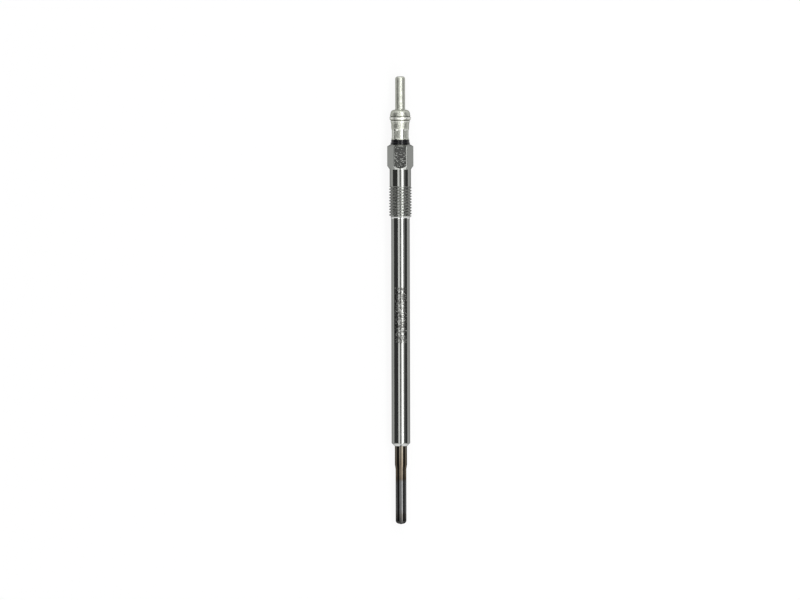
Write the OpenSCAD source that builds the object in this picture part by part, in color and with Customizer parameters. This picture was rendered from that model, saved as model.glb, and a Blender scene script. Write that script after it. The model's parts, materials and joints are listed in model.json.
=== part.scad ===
// Sheathed-element diesel glow plug with an M8 x 1 thread and a push-on terminal.
// Every piece is turned about its own Z axis, with z = 0 at the heater tip and the
// terminal pin on top. lay_down() then puts the plug on its side, along +Y, as it
// comes to rest on a flat surface.

/* [Heater tube] */
// Outside diameter of the slim heating end
tube_d = 3.75; // [3.3:0.05:4.2]
// Outside diameter of the thicker end that is pressed into the housing
tube_top_d = 4.25; // [4.2:0.05:4.8]
// Wall thickness of the swaged tube
tube_wall = 0.5; // [0.4:0.05:0.6]
// Length of the slim heating end
tube_slim_len = 19.3; // [17:0.1:24]
// Length of the taper between the two diameters
tube_taper_len = 1.6; // [0.8:0.1:3]
// Length of the thicker end that shows below the housing
tube_bare_len = 6.5; // [4:0.1:10]
// Length that is pressed into the housing
tube_press_len = 22.6; // [16:0.1:30]
// Thickness of the welded tip at its centre
tip_wall = 1.1; // [0.9:0.05:1.5]
// Height of the conical weld that closes the tip
tip_cone_len = 0.35; // [0.2:0.05:0.6]
// Radius of the shoulder round the tip
tip_shoulder_r = 0.6; // [0.3:0.05:1]

/* [Coils] */
// Wire diameter of the heating coil
heat_wire_d = 0.36; // [0.25:0.01:0.45]
// Turns of the heating coil
heat_turns = 9; // [6:1:12]
// Rise of one turn of the heating coil
heat_pitch = 0.82; // [0.6:0.01:1]
// Length of the straight leg that is welded to the tip
heat_leg_len = 1.4; // [1:0.1:2.4]
// Bend radius between the leg and the first turn
heat_bend_r = 0.4; // [0.3:0.05:0.6]
// Wire diameter of the control coil
control_wire_d = 0.3; // [0.2:0.01:0.36]
// Turns of the control coil
control_turns = 15; // [10:1:18]
// Rise of one turn of the control coil
control_pitch = 0.6; // [0.5:0.01:0.7]
// Turns of the control coil that are wound on the rod's spigot
spigot_turns = 3; // [2:1:5]
// Thickness of powder between the coils and the tube
coil_cover = 0.3; // [0.2:0.05:0.4]

/* [Housing] */
// Diameter of the long plain shank
shank_d = 6.5; // [6.2:0.05:6.8]
// Length of the shank between the seat's rounded edge and the thread's lead-in
shank_len = 77.6; // [50:0.1:110]
// Half angle of the sealing cone
seat_angle = 45; // [30:1:60]
// Width of the flat ring between the sealing cone and the tube
seat_land = 0.12; // [0.05:0.01:0.3]
// Radius of the rounded edge between cone and shank
seat_edge_r = 0.6; // [0.2:0.05:0.9]
// Diameter of the plain neck above the thread
neck_d = 7.5; // [7.2:0.05:7.7]
// Length of the neck
neck_len = 5.9; // [3:0.1:12]

/* [Thread] */
// Diameter over the crests of the M8 x 1 thread, inside the 6g limits
thread_d = 7.82; // [7.8:0.01:7.97]
// Depth of the thread, which sets the root diameter
thread_depth = 0.6; // [0.5:0.01:0.7]
// Length of the threaded stretch, with its end chamfers
thread_len = 10.9; // [8:0.1:16]
// Length of the gentle cone that leads from the shank to the thread's root
lead_in_len = 1.1; // [0.5:0.1:2]

/* [Hexagon] */
// Size across the flats
hex_af = 8; // [7.9:0.01:8.2]
// Diameter over the rounded corners
hex_corner_d = 9.22; // [9:0.01:9.23]
// Height of the hexagon, with its chamfers
hex_len = 8.7; // [6:0.1:12]
// Diameter of the flat ring on top
hex_land_d = 7.5; // [7.2:0.05:7.9]
// Angle of the lower chamfer to the axis
hex_chamfer_angle = 35; // [25:1:50]

/* [Centre rod and seals] */
// Diameter of the centre rod
rod_d = 3; // [2.8:0.05:3.2]
// Air gap between the rod and the housing's bore
rod_gap = 0.75; // [0.5:0.05:0.85]
// Thickness of powder round the rod's tail in the tube
tail_cover = 0.5; // [0.35:0.05:0.6]
// Length of the rod's end inside the terminal
rod_grip_len = 8.9; // [6:0.1:9.6]
// Thickness of the rubber ring round the rod
seal_section = 1.2; // [1:0.05:1.3]
// Length of the rubber plug in the tube's open end
tube_seal_len = 3.5; // [2:0.1:5]

/* [Insulator] */
// Diameter of the black ring that shows
insulator_d = 6.45; // [6.2:0.05:6.8]
// Diameter of the thin rim that lies on the hexagon
insulator_rim_d = 6.85; // [6.8:0.05:7.4]
// Height of the rim
insulator_rim_len = 0.7; // [0.4:0.1:1]
// Height of the whole ring that shows
insulator_len = 1.65; // [1.2:0.05:2.5]
// Length of the spigot inside the housing
insulator_spigot_len = 3.8; // [2:0.1:5]

/* [Terminal] */
// Diameter of the push-on pin
pin_d = 3.42; // [3.3:0.01:4]
// Length of the pin above the dome
pin_len = 11.65; // [9:0.05:14]
// Radius of the pin's rounded end
pin_end_r = 0.9; // [0.4:0.05:1.3]
// Diameter of the crimped skirt
skirt_d = 6.1; // [5.8:0.05:6.3]
// Height of the straight skirt
skirt_len = 3.9; // [3.6:0.1:5]
// Diameter of the waist under the bead
waist_d = 6.22; // [6.1:0.02:6.4]
// Height of the waist
waist_len = 1.6; // [1:0.1:2.5]
// Height of the cone between the waist and the bead
cone_len = 1.4; // [0.8:0.1:2]
// Diameter at the top of that cone
cone_top_d = 6.8; // [6.5:0.02:7]
// Diameter of the snap bead
bead_d = 7.54; // [7.3:0.02:7.8]
// Height of the bead's long lower flank
bead_flank_len = 1; // [0.5:0.05:1.2]
// Diameter of the dome where it leaves the bead
dome_d = 7.12; // [6.9:0.02:7.2]
// Height of the dome's steep lower part
dome_side_len = 0.9; // [0.4:0.1:1.4]
// Radius of the dome's round upper part
dome_r = 1.45; // [1:0.05:1.6]
// Radius of the fillet at the pin's foot
pin_foot_r = 0.25; // [0.1:0.05:0.4]
// Number of flats that the crimping jaws leave
crimp_flats = 6; // [4:1:6]
// Depth of each flat
crimp_depth = 0.19; // [0.1:0.01:0.25]
// Height of each flat
crimp_len = 3; // [2:0.1:3.2]
// Height of the rim that is left below the flats
crimp_rim_len = 0.4; // [0.2:0.1:0.6]
// Turn of the crimp's ridges against the hexagon's corners
crimp_turn = 37; // [0:1:59]

/* [Fits] */
// Clearance all round a pressed or moulded-in piece
press_gap = 0.01; // [0.005:0.005:0.02]
// Clearance all round the coil wires in the powder
wire_gap = 0.03; // [0.02:0.01:0.05]
// Room between the tube's open end and the steps in the bore and on the rod
step_room = 1; // [0.5:0.1:2]
// Clearance at the blind end of the terminal's bore
end_gap = 0.2; // [0.1:0.05:0.5]
// Lead chamfer on turned edges
edge_chamfer = 0.15; // [0.1:0.05:0.2]

/* [Hidden] */
$fn = 96;

// Steps of a quarter arc in a turned profile, and of a coil's turn and its wire's section
ARC_STEPS = 8;
TURN_STEPS = 18;
WIRE_SIDES = 8;
// Overlap of cutting tools past the face that they cut
CUT = 1;

// Radii that several pieces share
tube_r = tube_d / 2;
tube_top_r = tube_top_d / 2;
shank_r = shank_d / 2;
neck_r = neck_d / 2;
thread_r = thread_d / 2;
thread_root_r = thread_r - thread_depth;
hex_corner_r = hex_corner_d / 2;
hex_land_r = hex_land_d / 2;
rod_r = rod_d / 2;
pin_r = pin_d / 2;
skirt_r = skirt_d / 2;

// Stations along the axis, from the heater tip up to the pin's end
taper_z = tube_slim_len;
tube_top_z = taper_z + tube_taper_len;
seat_z = tube_top_z + tube_bare_len;
tube_end_z = seat_z + tube_press_len;
seat_land_r = tube_top_r + press_gap + seat_land;
seat_edge_z = seat_z + (shank_r - seat_edge_r * (1 - cos(seat_angle)) - seat_land_r) / tan(seat_angle)
              + seat_edge_r * sin(seat_angle);
lead_in_z = seat_edge_z + shank_len;
thread_z = lead_in_z + lead_in_len;
neck_z = thread_z + thread_len;
hex_z = neck_z + neck_len;
hex_top_z = hex_z + hex_len;
terminal_z = hex_top_z + insulator_len;
waist_z = terminal_z + skirt_len;
cone_z = waist_z + waist_len;
bead_z = cone_z + cone_len;
bead_peak_z = bead_z + bead_flank_len;
dome_z = bead_peak_z + (bead_d - dome_d) / 2;
dome_round_z = dome_z + dome_side_len;
pin_z = dome_round_z + dome_r;
plug_len = pin_z + pin_len;

// Bore of the housing
press_r = tube_top_r + press_gap;
press_end_z = tube_end_z + step_room;
bore_r = rod_r + rod_gap;
counterbore_r = rod_r + seal_section;
seal_z = hex_top_z - insulator_spigot_len - seal_section;

// Inside of the heater tube
slim_bore_r = tube_r - tube_wall;
top_bore_r = tube_top_r - tube_wall;
tube_seal_z = tube_end_z - tube_seal_len;

// Coils and the rod's spigot that the control coil is wound on
coil_r = slim_bore_r - coil_cover - heat_wire_d / 2;
spigot_r = coil_r - control_wire_d / 2 - wire_gap;
heat_lead = atan(heat_pitch / (2 * PI * coil_r));
control_lead = atan(control_pitch / (2 * PI * coil_r));
bend_angle = 90 - heat_lead;
leg_top_z = tip_wall + heat_leg_len;
heat_start_z = leg_top_z + heat_bend_r * sin(bend_angle);
heat_start_turn = heat_bend_r * (1 - cos(bend_angle)) / coil_r * 180 / PI;
control_z = heat_start_z + heat_turns * heat_pitch;
control_start_turn = heat_start_turn + heat_turns * 360;
coil_end_z = control_z + control_turns * control_pitch;
spigot_z = coil_end_z - spigot_turns * control_pitch;
tail_z = coil_end_z + control_wire_d;
tail_r = top_bore_r - tail_cover;
tail_end_z = tube_end_z + step_room;
rod_top_z = terminal_z + rod_grip_len;

// The plug lies on the lower edge of its shank and on the widest of the parts above it
rest_points = [
    [thread_z + thread_r - thread_root_r, thread_r],
    [neck_z, neck_r],
    [hex_z + (hex_af / 2 - neck_r) / tan(hex_chamfer_angle), hex_af / 2],
    [bead_peak_z, bead_d / 2]
];
rest_tilt = max([for (p = rest_points) atan((p[1] - shank_r) / (p[0] - seat_edge_z))]);
rest_lift = shank_r * cos(rest_tilt) - seat_edge_z * sin(rest_tilt);

// Puts a piece, turned about Z, on its side in the plug's resting pose
module lay_down() {
    translate([0, -plug_len / 2 * cos(rest_tilt), rest_lift])
        rotate([rest_tilt - 90, 0, 0])
            children();
}

// Points of an arc in a turned profile, in the order radius, height
function arc_points(centre_r, centre_z, radius, from, to) =
    [for (i = [0 : ARC_STEPS])
        let (a = from + (to - from) * i / ARC_STEPS)
            [centre_r + radius * cos(a), centre_z + radius * sin(a)]];

// Inside of the heater tube, from its tip to a height, smaller all round by a gap
module tube_cavity(top_z, gap) {
    rotate_extrude()
        polygon([
            [0, tip_wall + gap],
            [slim_bore_r - edge_chamfer - gap, tip_wall + gap],
            [slim_bore_r - gap, tip_wall + edge_chamfer + gap],
            [slim_bore_r - gap, taper_z],
            [top_bore_r - gap, tube_top_z],
            [top_bore_r - gap, top_z],
            [0, top_z]
        ]);
}

// A ring of material between two radii and two heights
module ring(inner_r, outer_r, low_z, high_z) {
    translate([0, 0, low_z])
        difference() {
            cylinder(r = outer_r, h = high_z - low_z);
            translate([0, 0, -CUT])
                cylinder(r = inner_r, h = high_z - low_z + 2 * CUT);
        }
}

// Flats milled or pressed at one distance from the axis, between two heights
module flat_cuts(count, distance, outer_r, low_z, high_z) {
    width = 2 * outer_r;
    for (i = [0 : count - 1])
        rotate([0, 0, (i + 0.5) * 360 / count])
            translate([distance, -width / 2, low_z])
                cube([outer_r, width, high_z - low_z]);
}

// Turned steel housing with seat, shank, thread, neck and hexagon
module housing() {
    color("silver")
    lay_down()
    difference() {
        rotate_extrude()
            polygon(concat(
                [[0, seat_z], [seat_land_r, seat_z]],
                arc_points(shank_r - seat_edge_r, seat_edge_z, seat_edge_r, -seat_angle, 0),
                [[shank_r, lead_in_z],
                 [thread_root_r, thread_z],
                 [thread_r, thread_z + thread_r - thread_root_r],
                 [thread_r, neck_z - (thread_r - neck_r)],
                 [neck_r, neck_z],
                 [neck_r, hex_z],
                 [hex_corner_r, hex_z + (hex_corner_r - neck_r) / tan(hex_chamfer_angle)],
                 [hex_corner_r, hex_top_z - (hex_corner_r - hex_land_r)],
                 [hex_land_r, hex_top_z],
                 [0, hex_top_z]]
            ));
        flat_cuts(6, hex_af / 2, hex_corner_r, hex_z, hex_top_z);
        housing_bore();
    }
}

// Stepped bore: press seat for the tube, clearance for the rod, counterbore for the seal
module housing_bore() {
    rotate_extrude()
        polygon([
            [0, seat_z - CUT],
            [press_r, seat_z - CUT],
            [press_r, press_end_z],
            [bore_r, press_end_z + abs(bore_r - press_r)],
            [bore_r, seal_z],
            [counterbore_r, seal_z],
            [counterbore_r, hex_top_z - edge_chamfer],
            [counterbore_r + edge_chamfer + CUT, hex_top_z + CUT],
            [0, hex_top_z + CUT]
        ]);
}

// Swaged tube with a slim heating end, a taper and a welded tip
module heater_tube() {
    shoulder_z = tip_cone_len + tip_shoulder_r;
    cone_angle = atan(tip_cone_len / (tube_r - tip_shoulder_r));
    color("dimgray")
    lay_down()
    difference() {
        rotate_extrude()
            polygon(concat(
                [[0, 0]],
                arc_points(tube_r - tip_shoulder_r, shoulder_z, tip_shoulder_r, cone_angle - 90, 0),
                [[tube_r, taper_z],
                 [tube_top_r, tube_top_z],
                 [tube_top_r, tube_end_z - edge_chamfer],
                 [tube_top_r - edge_chamfer, tube_end_z],
                 [0, tube_end_z]]
            ));
        tube_cavity(tube_end_z + CUT, 0);
    }
}

// One ring of points round a wire, where it lies on the coil's cylinder at a turn and a height
function wire_ring(turn, z, lead, wire_d) =
    let (out = [cos(turn), sin(turn), 0],
         across = [-sin(lead) * sin(turn), sin(lead) * cos(turn), -cos(lead)])
        [for (k = [0 : WIRE_SIDES - 1])
            let (a = 360 * k / WIRE_SIDES)
                coil_r * out + [0, 0, z] + wire_d / 2 * (cos(a) * out + sin(a) * across)];

// Wire along a path of [turn, height, lead angle] on the coil's cylinder
module wire(path, wire_d) {
    last = len(path) - 1;
    points = [for (p = path) each wire_ring(p[0], p[1], p[2], wire_d)];
    sides = [for (i = [0 : last - 1], k = [0 : WIRE_SIDES - 1])
        let (a = i * WIRE_SIDES + k, b = i * WIRE_SIDES + (k + 1) % WIRE_SIDES)
            [a, b, b + WIRE_SIDES, a + WIRE_SIDES]];
    foot = [for (k = [WIRE_SIDES - 1 : -1 : 0]) k];
    head = [for (k = [0 : WIRE_SIDES - 1]) last * WIRE_SIDES + k];
    polyhedron(points, concat([foot], sides, [head]));
}

// Even turns of a coil, as a path for wire()
function turns_path(start_turn, start_z, turns, pitch, lead) =
    [for (i = [0 : turns * TURN_STEPS])
        [start_turn + 360 * i / TURN_STEPS, start_z + pitch * i / TURN_STEPS, lead]];

// Heating coil: a leg welded to the tip, a bend and even turns
module heating_coil() {
    leg = [[0, tip_wall, 90], [0, leg_top_z, 90]];
    bend = [for (i = [1 : ARC_STEPS - 1])
        let (a = bend_angle * i / ARC_STEPS)
            [heat_bend_r * (1 - cos(a)) / coil_r * 180 / PI, leg_top_z + heat_bend_r * sin(a), 90 - a]];
    turns = turns_path(heat_start_turn, heat_start_z, heat_turns, heat_pitch, heat_lead);
    full_turns = [for (i = [0 : len(turns) - 2]) turns[i]];
    weld = [[control_start_turn, control_z, control_lead]];
    color("goldenrod")
    lay_down()
        wire(concat(leg, bend, full_turns, weld), heat_wire_d);
}

// Control coil: welded end to end to the heating coil and wound on to the rod's spigot
module control_coil() {
    color("darkkhaki")
    lay_down()
        wire(turns_path(control_start_turn, control_z, control_turns, control_pitch, control_lead),
             control_wire_d);
}

// Compacted magnesia powder that holds the coils and the rod's tail
module magnesia_fill() {
    slot_half = max(heat_wire_d, control_wire_d) / 2 + wire_gap;
    slot_z = leg_top_z - heat_wire_d;
    color("ivory")
    lay_down()
    difference() {
        tube_cavity(tube_seal_z - press_gap, press_gap);
        ring(coil_r - slot_half, coil_r + slot_half, slot_z, tail_z);
        translate([0, 0, spigot_z - press_gap])
            cylinder(r = coil_r, h = tail_z - spigot_z + press_gap);
        translate([0, 0, tail_z - press_gap])
            cylinder(r = tail_r + press_gap, h = tube_seal_z - tail_z + CUT);
        translate([coil_r, 0, tip_wall - CUT])
            cylinder(r = heat_wire_d / 2 + wire_gap, h = slot_z - tip_wall + 2 * CUT);
    }
}

// Rubber plug that keeps moisture out of the powder
module tube_seal() {
    color("saddlebrown")
    lay_down()
        ring(tail_r + press_gap, top_bore_r - press_gap, tube_seal_z, tube_end_z);
}

// Steel rod that carries the current from the terminal to the coils
module centre_rod() {
    color("gray")
    lay_down()
        rotate_extrude()
            polygon([
                [0, spigot_z],
                [spigot_r, spigot_z],
                [spigot_r, tail_z],
                [tail_r, tail_z],
                [tail_r, tail_end_z],
                [rod_r, tail_end_z + abs(rod_r - tail_r)],
                [rod_r, rod_top_z - edge_chamfer],
                [rod_r - edge_chamfer, rod_top_z],
                [0, rod_top_z]
            ]);
}

// Rubber ring that seals the rod in the housing's counterbore
module body_seal() {
    color("darkslategray")
    lay_down()
        translate([0, 0, seal_z + seal_section / 2])
            rotate_extrude()
                translate([rod_r + seal_section / 2, 0])
                    circle(r = seal_section / 2 - press_gap);
}

// Black moulded bush that keeps the terminal off the housing
module insulator() {
    top_r = insulator_d / 2;
    rim_r = insulator_rim_d / 2;
    rim_top_z = hex_top_z + insulator_rim_len;
    color("black")
    lay_down()
    difference() {
        rotate_extrude()
            polygon([
                [0, hex_top_z - insulator_spigot_len],
                [counterbore_r - press_gap - edge_chamfer, hex_top_z - insulator_spigot_len],
                [counterbore_r - press_gap, hex_top_z - insulator_spigot_len + edge_chamfer],
                [counterbore_r - press_gap, hex_top_z],
                [rim_r, hex_top_z],
                [rim_r, rim_top_z - edge_chamfer],
                [rim_r - edge_chamfer, rim_top_z],
                [top_r, rim_top_z],
                [top_r, terminal_z - edge_chamfer],
                [top_r - edge_chamfer, terminal_z],
                [0, terminal_z]
            ]);
        translate([0, 0, hex_top_z - insulator_spigot_len - CUT])
            cylinder(r = rod_r + press_gap, h = insulator_spigot_len + insulator_len + 2 * CUT);
    }
}

// Nickel-plated terminal: crimped skirt, snap bead, dome and push-on pin
module terminal() {
    cone_top_r = cone_top_d / 2;
    bead_r = bead_d / 2;
    dome_base_r = dome_d / 2;
    dome_centre_r = pin_r + pin_foot_r;
    crimp_z = terminal_z + crimp_rim_len;
    color("gainsboro")
    lay_down()
    difference() {
        rotate_extrude()
            polygon(concat(
                [[0, terminal_z],
                 [skirt_r - edge_chamfer, terminal_z],
                 [skirt_r, terminal_z + edge_chamfer],
                 [skirt_r, waist_z],
                 [waist_d / 2, waist_z + edge_chamfer],
                 [waist_d / 2, cone_z],
                 [cone_top_r, bead_z],
                 [(cone_top_r + bead_r) / 2, bead_z],
                 [bead_r, bead_peak_z],
                 [dome_base_r, dome_z]],
                arc_points(dome_centre_r, dome_round_z, dome_r, 0, 90),
                arc_points(pin_r + pin_foot_r, pin_z + pin_foot_r, pin_foot_r, 270, 180),
                arc_points(pin_r - pin_end_r, plug_len - pin_end_r, pin_end_r, 0, 90),
                [[0, plug_len]]
            ));
        rotate([0, 0, crimp_turn])
            flat_cuts(crimp_flats, skirt_r - crimp_depth, skirt_r, crimp_z, crimp_z + crimp_len);
        translate([0, 0, terminal_z - CUT])
            cylinder(r = rod_r + press_gap, h = rod_grip_len + end_gap + CUT);
    }
}

housing();
heater_tube();
heating_coil();
control_coil();
magnesia_fill();
tube_seal();
centre_rod();
body_seal();
insulator();
terminal();
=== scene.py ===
"""Studio scene of a slim diesel glow plug that lies on a pale floor.

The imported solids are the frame. The four pieces that show are modelled again here, with
rounded edges, the cut thread and the marks of the crimp, and every piece gets its finish.
Sizes are in millimetres along the plug's own axis, with zero at the heater tip.
"""

from __future__ import annotations

import json
import logging
import math
from dataclasses import dataclass
from enum import Enum
from itertools import pairwise
from typing import Any, ClassVar, Mapping, Sequence

import bpy
from mathutils import Euler, Matrix, Vector

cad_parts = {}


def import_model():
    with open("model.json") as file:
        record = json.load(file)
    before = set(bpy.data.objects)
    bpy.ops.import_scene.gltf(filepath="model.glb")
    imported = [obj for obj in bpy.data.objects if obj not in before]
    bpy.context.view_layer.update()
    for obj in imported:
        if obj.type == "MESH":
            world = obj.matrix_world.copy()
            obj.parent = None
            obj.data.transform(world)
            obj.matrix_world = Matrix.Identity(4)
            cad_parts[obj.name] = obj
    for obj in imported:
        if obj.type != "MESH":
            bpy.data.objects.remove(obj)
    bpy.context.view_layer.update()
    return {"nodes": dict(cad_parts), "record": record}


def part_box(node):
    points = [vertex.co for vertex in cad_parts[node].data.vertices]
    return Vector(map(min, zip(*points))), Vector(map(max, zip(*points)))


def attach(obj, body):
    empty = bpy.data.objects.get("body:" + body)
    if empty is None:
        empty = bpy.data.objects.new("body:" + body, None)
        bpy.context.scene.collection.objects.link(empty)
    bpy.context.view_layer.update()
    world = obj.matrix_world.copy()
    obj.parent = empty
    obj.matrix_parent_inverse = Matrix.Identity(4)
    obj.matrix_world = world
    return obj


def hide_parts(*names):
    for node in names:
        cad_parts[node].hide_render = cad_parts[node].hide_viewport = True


LOG = logging.getLogger("glow_plug")

MM = 0.001
ROOT_BODY = "root"
SMOOTH_ANGLE = math.radians(32)

# Distances under which points are merged, on a new mesh and along the seam of a cut
MERGE_MM = 0.002
SEAM_MM = 0.0005

# Sizes that two pieces, or a piece and its finish, share
TUBE_LEN = 50.0
NECK_R = 3.75
HEX_TOP_Z = 132.844
ROD_HOLE_R = 1.51
TERMINAL_Z = 134.494
SKIRT_R = 3.05

Point = tuple[float, float]
Colour = tuple[float, float, float, float]
Number = "Value | float"
Socket = bpy.types.NodeSocket
Solid = bpy.types.Object


def grey(level: float) -> Colour:
    """Gives a neutral grey."""
    return (level, level, level, 1.0)


class Slot(Enum):
    """Material slots of the record."""

    HOUSING_STEEL = "housing_steel"
    HEATER_ALLOY = "heater_alloy"
    COIL_WIRE = "coil_wire"
    CONTROL_WIRE = "control_wire"
    MAGNESIA = "magnesia"
    SEAL_RUBBER = "seal_rubber"
    ROD_STEEL = "rod_steel"
    INSULATOR_PLASTIC = "insulator_plastic"
    TERMINAL_NICKEL = "terminal_nickel"


class Cut(Enum):
    """Ways to combine two solids."""

    JOIN = "UNION"
    REMOVE = "DIFFERENCE"


@dataclass(frozen=True)
class RestingAxis:
    """Where the plug's axis lies in the row frame.

    Attributes:
        tip: The heater tip, in metres.
        tilt: The rise of the axis towards the terminal, in radians.
    """

    tip: Vector
    tilt: float

    @classmethod
    def from_record(cls, record: Mapping[str, Any]) -> RestingAxis:
        """Takes the axis from the terminal pin's mount and the heater tube's box.

        Args:
            record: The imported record.

        Returns:
            The axis as the plug lies at rest.
        """
        pin = next(m for m in record["mounts"] if m["name"] == "terminal_pin")
        along, place = Vector(pin["axis"]), Vector(pin["pos_m"])
        tip_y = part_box("heater_tube")[0].y
        tip = place + along * ((tip_y - place.y) / along.y)
        return cls(tip, math.atan2(along.z, along.y))

    def height(self, along: float) -> float:
        """Gives the axis's height over the floor at a place along the row frame's Y."""
        return self.tip.z + (along - self.tip.y) * math.tan(self.tilt)

    def matrix(self) -> Matrix:
        """Gives the matrix from millimetres about Z to the row frame."""
        turn = Matrix.Rotation(self.tilt - math.pi / 2, 4, "X")
        return Matrix.Translation(self.tip) @ turn @ Matrix.Scale(MM, 4)


@dataclass(frozen=True)
class Corner:
    """A corner of a turned outline.

    Attributes:
        radius: Distance from the axis.
        station: Distance from the heater tip along the axis.
        fillet: Radius that rounds the corner.
    """

    radius: float
    station: float
    fillet: float = 0.0

    def place(self) -> Vector:
        """Gives the corner as a flat vector."""
        return Vector((self.radius, self.station))

    def room(self, other: Corner) -> float:
        """Gives the length that this rounding may take of the side to another corner."""
        side = (other.place() - self.place()).length
        return side * self.fillet / (self.fillet + other.fillet)


def soften(corners: Sequence[Corner], steps: int = 6) -> list[Point]:
    """Rounds the corners of an outline.

    Args:
        corners: The outline's corners in order. The first and last stay sharp.
        steps: Straight pieces in each rounding.

    Returns:
        The points of the softened outline.
    """
    points: list[Point] = []
    for index, corner in enumerate(corners):
        here = corner.place()
        if corner.fillet == 0.0 or index in (0, len(corners) - 1):
            points.append((here.x, here.y))
            continue
        before, after = corners[index - 1], corners[index + 1]
        back, ahead = before.place() - here, after.place() - here
        half = back.angle(ahead) / 2
        reach = min(corner.fillet / math.tan(half), corner.room(before), corner.room(after))
        radius = reach * math.tan(half)
        inward = (back.normalized() + ahead.normalized()).normalized()
        centre = here + inward * (radius / math.sin(half))
        first = here + back.normalized() * reach - centre
        last = here + ahead.normalized() * reach - centre
        sweep = first.angle(last)
        for step in range(steps + 1):
            share = step / steps
            arm = first * math.sin((1 - share) * sweep) + last * math.sin(share * sweep)
            spot = centre + arm / math.sin(sweep)
            points.append((spot.x, spot.y))
    return points


def infill(points: Sequence[Point], low: float, high: float, gap: float) -> list[Point]:
    """Adds points to the stretches of an outline between two stations.

    Args:
        points: The outline.
        low: Lowest station that is filled.
        high: Highest station that is filled.
        gap: Largest distance that is left between two points there.

    Returns:
        The outline with the added points.
    """
    filled = [points[0]]
    for start, end in pairwise(points):
        inside = low <= min(start[1], end[1]) and max(start[1], end[1]) <= high
        count = max(math.ceil(math.dist(start, end) / gap), 1) if inside else 1
        for step in range(1, count + 1):
            share = step / count
            filled.append(tuple(a + (b - a) * share for a, b in zip(start, end)))
    return filled


class Lathe:
    """Turns, cuts and joins one piece at a time, in millimetres about the Z axis."""

    STEPS = 360
    COARSE_STEPS = 192
    BORE_STEPS = 120

    @staticmethod
    def deselect() -> None:
        """Leaves no object selected."""
        bpy.ops.object.select_all(action="DESELECT")

    @classmethod
    def take(cls, piece: Solid) -> None:
        """Makes a piece the only selected object, and the active one.

        Args:
            piece: The object.
        """
        cls.deselect()
        piece.select_set(True)
        bpy.context.view_layer.objects.active = piece

    @classmethod
    def wire(cls, name: str, points: Sequence[Point]) -> Solid:
        """Draws an outline as a chain of edges, and leaves it in edit mode.

        Args:
            name: Name of the new object.
            points: The outline, as radius and station.

        Returns:
            The object, with all of the chain selected.
        """
        cls.deselect()
        bpy.ops.mesh.primitive_plane_add(size=1.0, enter_editmode=True)
        piece = bpy.context.object
        piece.name = piece.data.name = name
        bpy.ops.mesh.select_all(action="SELECT")
        bpy.ops.mesh.merge(type="CENTER")
        bpy.ops.transform.translate(value=(points[0][0], 0.0, points[0][1]))
        for start, end in pairwise(points):
            move = (end[0] - start[0], 0.0, end[1] - start[1])
            bpy.ops.mesh.extrude_vertices_move(TRANSFORM_OT_translate={"value": move})
        bpy.ops.mesh.select_all(action="SELECT")
        return piece

    @staticmethod
    def merge_doubles(distance: float) -> None:
        """Selects the whole mesh in edit mode and merges its points within a distance."""
        bpy.ops.mesh.select_all(action="SELECT")
        bpy.ops.mesh.remove_doubles(threshold=distance)

    @classmethod
    def close(cls) -> None:
        """Merges doubles, turns the faces outwards and leaves edit mode."""
        cls.merge_doubles(MERGE_MM)
        bpy.ops.mesh.normals_make_consistent(inside=False)
        bpy.ops.object.mode_set(mode="OBJECT")

    @classmethod
    def turn(cls, name: str, points: Sequence[Point], steps: int = STEPS) -> Solid:
        """Spins an outline about the axis into a closed solid.

        Args:
            name: Name of the new object.
            points: The outline, which ends on the axis or where it began.
            steps: Faces round the solid.

        Returns:
            The turned solid.
        """
        piece = cls.wire(name, points)
        bpy.ops.mesh.spin(steps=steps, angle=math.tau, center=(0, 0, 0), axis=(0, 0, 1))
        cls.close()
        return piece

    @classmethod
    def combine(cls, piece: Solid, tool: Solid, cut: Cut) -> None:
        """Joins a solid to a piece, or removes it, and cleans the seam.

        Args:
            piece: The piece that is changed.
            tool: The solid, which is deleted afterwards.
            cut: Whether it is joined or removed.
        """
        cls.take(piece)
        change = piece.modifiers.new(cut.name.title(), "BOOLEAN")
        change.operation = cut.value
        change.solver = "EXACT"
        change.object = tool
        bpy.ops.object.modifier_apply(modifier=change.name)
        bpy.ops.object.mode_set(mode="EDIT")
        cls.merge_doubles(SEAM_MM)
        bpy.ops.object.mode_set(mode="OBJECT")
        bpy.data.objects.remove(tool, do_unlink=True)

    @classmethod
    def lay_down(cls, piece: Solid, axis: RestingAxis) -> None:
        """Puts a turned piece in its place in the row frame and smooths its shading.

        Args:
            piece: The piece, in millimetres about the Z axis.
            axis: Where the plug lies.
        """
        piece.matrix_world = axis.matrix()
        cls.take(piece)
        bpy.ops.object.transform_apply(location=True, rotation=True, scale=True)
        bpy.ops.object.shade_smooth_by_angle(angle=SMOOTH_ANGLE)


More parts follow.
